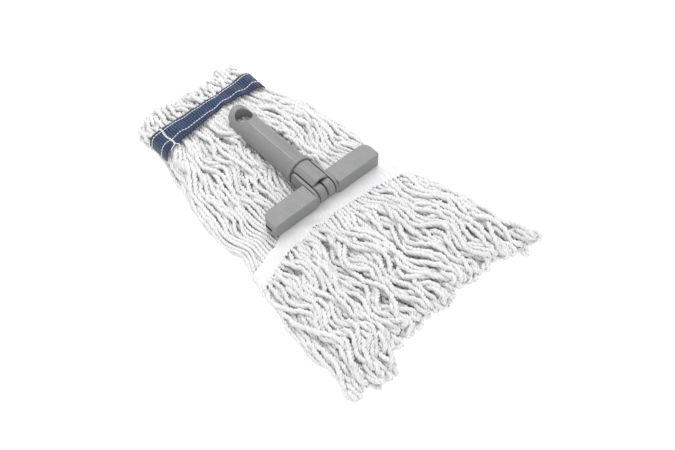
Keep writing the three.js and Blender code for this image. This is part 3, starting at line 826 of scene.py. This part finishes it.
near = settle("near", 21)
far = settle("far", 57)
NEAR_CUTS = [-70 + SX, -36 + SX, -2 + SX, 29 + SX, 58 + SX]
FAR_CUTS = [-62 + SX, -15.6 + SX, 15.6 + SX, 52 + SX]


def grouped(strands, cuts):
    groups = [[] for _ in range(len(cuts) + 1)]
    for pts, thin, u, layer in strands:
        x = pts[0, 0] * 0.5 + pts[-1, 0] * 0.5
        groups[int(np.searchsorted(cuts, x))].append((pts, thin))
    return groups


rng = np.random.default_rng(5)
NEAR_NODES = {1: ["headband_strands"]}
for k, g in enumerate(grouped(near, NEAR_CUTS), 1):
    o = yarn_piece(f"near_yarns_{k}", g, rng, "near")
    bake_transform(o)
    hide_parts(f"near_strands_{k}", *NEAR_NODES.get(k, []))
FAR_NODES = {1: ["tail_loops_left"], 3: ["tail_strands", "tail_loops_middle"], 5: ["tail_loops_right"]}
for k, g in enumerate(grouped(far, FAR_CUTS), 1):
    o = yarn_piece(f"far_yarns_{k}", g, rng, "far")
    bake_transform(o)
    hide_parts(f"far_strands_{k}", *FAR_NODES.get(k, []))


# ------------------------------------------------------------------ sheets
def height_over(points, x, y, reach, default):
    """Top of the yarn pile round a plan position."""
    d2 = (points[:, 0] - x) ** 2 + (points[:, 1] - y) ** 2
    near_by = d2 < reach * reach
    if not near_by.any():
        return default
    return np.percentile(points[near_by, 2], 96)


def cloth_grid(name, top, uvw, thick, mat):
    """A closed thin sheet from a grid of its outer surface points (rows, columns, 3) in mm."""
    rows, cols = top.shape[:2]
    du = np.gradient(top, axis=0)
    dv = np.gradient(top, axis=1)
    nrm = np.cross(du, dv)
    nrm /= np.maximum(np.linalg.norm(nrm, axis=2, keepdims=True), 1e-9)
    if nrm[rows // 2, cols // 2, 2] < 0:
        nrm = -nrm
    low = top - nrm * thick
    V = np.concatenate([top.reshape(-1, 3), low.reshape(-1, 3)])
    n = rows * cols
    idx = np.arange(n).reshape(rows, cols)
    q = np.stack([idx[:-1, :-1], idx[1:, :-1], idx[1:, 1:], idx[:-1, 1:]], -1).reshape(-1, 4)
    ql = q[:, ::-1] + n
    rim = np.concatenate([idx[:, 0], idx[-1, 1:], idx[::-1, -1][1:], idx[0, ::-1][1:-1]])
    rn = np.roll(rim, -1)
    qr = np.stack([rim, rim + n, rn + n, rn], -1)
    F = np.concatenate([q, ql, qr])
    # faces point out
    a, b, c = V[q[0, 0]], V[q[0, 1]], V[q[0, 2]]
    if np.dot(np.cross(b - a, c - a), nrm[0, 0]) < 0:
        F = F[:, ::-1]
    uv = np.concatenate([uvw.reshape(-1, 2)] * 2) * MM
    uv = np.concatenate([uv, np.zeros((len(uv), 1))], 1)
    o = build_mesh(name, V, F, mat, uv=uv)
    return o


# headband tapes
def headband(name, top_side):
    xs = np.linspace(-107, 96, 205) if top_side else np.linspace(-99, 92, 121)
    n = 27
    g = np.zeros((len(xs), n, 3))
    uv = np.zeros((len(xs), n, 2))
    wob = Waves(77 if top_side else 78, (18, 40), (16, 45))
    for i, x in enumerate(xs):
        f, r = head_edges(x)
        if not top_side:
            f = max(f, -26.5)
        t = np.linspace(0, 1, n)
        y = f + (r - f) * t
        g[i, :, 0] = x
        g[i, :, 1] = y
        if top_side:
            y = y + (0.8 * wob(x, 0 * t) + 0.9 * np.sin(2 * np.pi * x / 4.4 + 1.3 * wob(x * 0.5, y))) * (1 - t) ** 2
            g[i, :, 1] = y
            z = head_level(x) + 0.0 * y
            out = smoothstep(-11, -24, y)
            z = z + out * (0.45 * wob(x, y) + (0.30 + 0.55 * (1 - t) ** 2) * np.sin(2 * np.pi * x / 4.4 + 1.3 * wob(x * 0.5, y)))
            z = z - 1.5 * (1 - t) ** 4
        else:
            z = 2.55 + 0.0 * y
        g[i, :, 2] = z
        uv[i, :, 0] = x
        uv[i, :, 1] = (r - f) * t
    o = cloth_grid(name, g, uv, 0.75, TAPE)
    return o, g


ht, htg = headband("headband_tape_top", True)
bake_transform(ht)
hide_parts("headband_top")
hb, hbg = headband("headband_tape_bottom", False)
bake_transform(hb)
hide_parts("headband_bottom")


# tail band
far_pts = np.concatenate([p for p, *_ in far])


def band_line(x):
    """Rear and front edge of the navy band in y."""
    rear = np.interp(x, [-92, -74, -68, -41, -8, 16, 30, 46, 58], [163, 165.5, 164.8, 164.6, 164.4, 164.0, 166.5, 168, 167])
    front = np.interp(x, [-92, -75, -64, -45, -30, 2, 14, 26, 46, 58], [137, 137, 139, 140.5, 142.5, 146.5, 146.2, 143.5, 141.5, 142])
    return front, rear


def navy_top():
    xs = np.linspace(-76.5, 49.5, 150)
    side_l = [(-78.0, 22.6), (-79.6, 20.2), (-80.6, 17.2), (-81.0, 13.8), (-80.8, 10.6)]
    side_r = [(51.2, 22.6), (53.0, 20.2), (54.0, 17.2), (54.3, 13.8)]
    wob = Waves(91, (30, 60), (14, 34))
    cols = []
    prof = [(x, None) for x in xs]
    prof = [(x, z) for x, z in side_l[::-1]] + prof + [(x, z) for x, z in side_r]
    n = 25
    g = np.zeros((len(prof), n, 3))
    for i, (x, z) in enumerate(prof):
        f, r = band_line(x)
        t = np.linspace(0, 1, n)
        y = f + (r - f) * t + 0.35 * wob(x * 1.0, 0 * t)
        g[i, :, 0] = x
        g[i, :, 1] = y
        if z is None:
            zz = 25.8 + 0.55 * wob(x, y) - 1.7 * smoothstep(-69, -77, x) - 1.7 * smoothstep(42, 50, x)
            zz = zz + 0.9 * np.exp(-((x - 22) / 5.0) ** 2) * (1 - 2 * np.abs(t - 0.45))  # a fold near the right end
            zz = zz - 0.7 * (2 * t - 1) ** 4
        else:
            zz = z + 0 * t
        g[i, :, 2] = zz
    for _ in range(2):
        g[1:-1] = 0.5 * g[1:-1] + 0.25 * (g[2:] + g[:-2])
    seg = np.linalg.norm(np.diff(g[:, n // 2], axis=0), axis=1)
    arc = np.r_[0, np.cumsum(seg)]
    uv = np.zeros((len(prof), n, 2))
    uv[..., 0] = arc[:, None]
    uv[..., 1] = np.linspace(0, 25.5, n)[None]
    return g, uv, arc


ng, nuv, narc = navy_top()
nt_piece = cloth_grid("tail_band_upper", ng, nuv, 1.0, NAVY)
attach(nt_piece, "far_half")
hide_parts("tail_band_top")


def navy_bottom():
    xs = np.linspace(-76, 50, 70)
    n = 13
    g = np.zeros((len(xs), n, 3))
    for i, x in enumerate(xs):
        f, r = 141.5, 167.0
        t = np.linspace(0, 1, n)
        g[i, :, 0] = x
        g[i, :, 1] = f + (r - f) * t
        lift = smoothstep(-68, -76, x) + smoothstep(42, 50, x)
        g[i, :, 2] = 1.75 + lift * 2.2
    uv = np.zeros((len(xs), n, 2))
    uv[..., 0] = (xs + 76)[:, None]
    uv[..., 1] = np.linspace(0, 25.5, n)[None]
    return g, uv


bg, buv = navy_bottom()
nb_piece = cloth_grid("tail_band_lower", bg, buv, 1.0, NAVY)
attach(nb_piece, "far_half")
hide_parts("tail_band_bottom")


# stitches: short thread capsules that dip into the band
def on_band(s, t):
    """Point and normal on the band at arc length s and fraction t across it."""
    rows, cols = ng.shape[:2]
    fi = np.interp(s, narc, np.arange(rows))
    fj = t * (cols - 1)
    i, j = int(min(fi, rows - 2)), int(min(fj, cols - 2))
    a, b = fi - i, fj - j
    p = (ng[i, j] * (1 - a) + ng[i + 1, j] * a) * (1 - b) + (ng[i, j + 1] * (1 - a) + ng[i + 1, j + 1] * a) * b
    du = ng[i + 1, j] - ng[i, j]
    dv = ng[i, j + 1] - ng[i, j]
    nn = np.cross(du, dv)
    nn /= np.linalg.norm(nn)
    return p, nn if nn[2] > -0.2 and (nn[2] > 0 or True) else -nn


def thread_tube(pts, r, sides=7):
    pts = np.array(pts, float)
    n = len(pts)
    t = np.gradient(pts, axis=0)
    t /= np.linalg.norm(t, axis=1, keepdims=True)
    ref = np.array([0.13, 0.21, 1.0])
    u = np.cross(t, ref)
    u /= np.linalg.norm(u, axis=1, keepdims=True)
    w = np.cross(t, u)
    a = np.arange(sides) * 2 * np.pi / sides
    rr = np.full(n, r)
    rr[0] *= 0.5
    rr[-1] *= 0.5
    V = pts[:, None] + rr[:, None, None] * (np.cos(a)[None, :, None] * u[:, None] + np.sin(a)[None, :, None] * w[:, None])
    base = np.arange(n - 1)[:, None] * sides + np.arange(sides)[None]
    nxt = np.arange(n - 1)[:, None] * sides + (np.arange(sides)[None] + 1) % sides
    F = np.stack([base, nxt, nxt + sides, base + sides], -1).reshape(-1, 4)
    caps = [list(range(sides))[::-1], [(n - 1) * sides + k for k in range(sides)]]
    return V.reshape(-1, 3), F, caps


def run_of_stitches(paths, name):
    Vs, Fs, caps, base = [], [], [], 0
    for p, r in paths:
        V, F, c = thread_tube(p, r)
        Vs.append(V)
        Fs.append(F + base)
        caps += [[k + base for k in g] for g in c]
        base += len(V)
    o = build_mesh(name, np.concatenate(Vs), np.concatenate(Fs), THREAD, ngons=caps)
    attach(o, "far_half")
    return o


paths = []
r_st = np.random.default_rng(3)
up = 1.0
for t0, amp in ((0.27, 0.030), (0.855, 0.012)):
    s = 1.5
    while s < narc[-1] - 4:
        L = 3.1 + r_st.uniform(-0.4, 0.4)
        pts = []
        for f in np.linspace(0, 1, 6):
            p, nn = on_band(s + f * L, t0 + amp * math.sin((s + f * L) / 17.0))
            if nn[2] < 0 and abs(nn[2]) > 0.3:
                nn = -nn
            pts.append(p + nn * (0.34 * math.sin(math.pi * f) - 0.06))
        paths.append((pts, 0.42))
        s += L + 0.5
# cross row near the left end, sewn twice, with loose tails
cross_s = float(np.interp(-67.5, ng[:, 12, 0], narc))
for off in (0.0, 1.1):
    t = 0.03
    while t < 0.93:
        pts = []
        for f in np.linspace(0, 1, 6):
            p, nn = on_band(cross_s + off + 0.6 * math.sin(9 * t), min(0.995, t + f * 0.092))
            if nn[2] < 0:
                nn = -nn
            pts.append(p + nn * (0.30 * math.sin(math.pi * f) + 0.12))
        paths.append((pts, 0.52))
        t += 0.098
p0, _ = on_band(cross_s, 0.03)
for dx, dy, ln in ((-6.0, -3.0, 1.0), (5.0, -6.0, 1.0)):
    f = np.linspace(0, 1, 9)
    pts = np.stack([p0[0] + dx * f + 0.8 * np.sin(5 * f), p0[1] + dy * f, p0[2] + 0.9 * np.sin(np.pi * f) + 0.35 - 1.2 * f**2], 1)
    paths.append((pts, 0.40))
stitches = run_of_stitches(paths, "tail_band_stitching")


# ------------------------------------------------------------------ floor and light
floor_me = bpy.data.meshes.new("floor")
bm = bmesh.new()
bmesh.ops.create_grid(bm, x_segments=2, y_segments=2, size=4.0)
bm.to_mesh(floor_me)
bm.free()
floor = bpy.data.objects.new("floor", floor_me)
scene.collection.objects.link(floor)
fm, fnt, fb = new_material("pale_floor")
fb.inputs["Base Color"].default_value = (0.9, 0.9, 0.9, 1)
fb.inputs["Roughness"].default_value = 0.9
fb.inputs["Emission Color"].default_value = (1, 1, 1, 1)
fb.inputs["Emission Strength"].default_value = 0.45
floor_me.materials.append(fm)

world = bpy.data.worlds.new("studio")
scene.world = world
world.use_nodes = True
world.node_tree.nodes["Background"].inputs[0].default_value = (1.0, 1.0, 1.0, 1)
world.node_tree.nodes["Background"].inputs[1].default_value = 0.84


def area_light(name, loc, target, size, power):
    d = bpy.data.lights.new(name, "AREA")
    d.shape = "DISK"
    d.size = size
    d.energy = power
    o = bpy.data.objects.new(name, d)
    scene.collection.objects.link(o)
    o.location = loc
    o.rotation_euler = (Vector(target) - Vector(loc)).to_track_quat("-Z", "Y").to_euler()
    return o


area_light("key", (0.55, 0.80, 1.80), (0, 0, 0), 1.6, 23)
area_light("fill", (-1.2, -1.1, 1.1), (0, 0, 0), 1.4, 5)

scene.view_settings.view_transform = "Standard"
scene.view_settings.look = "None"
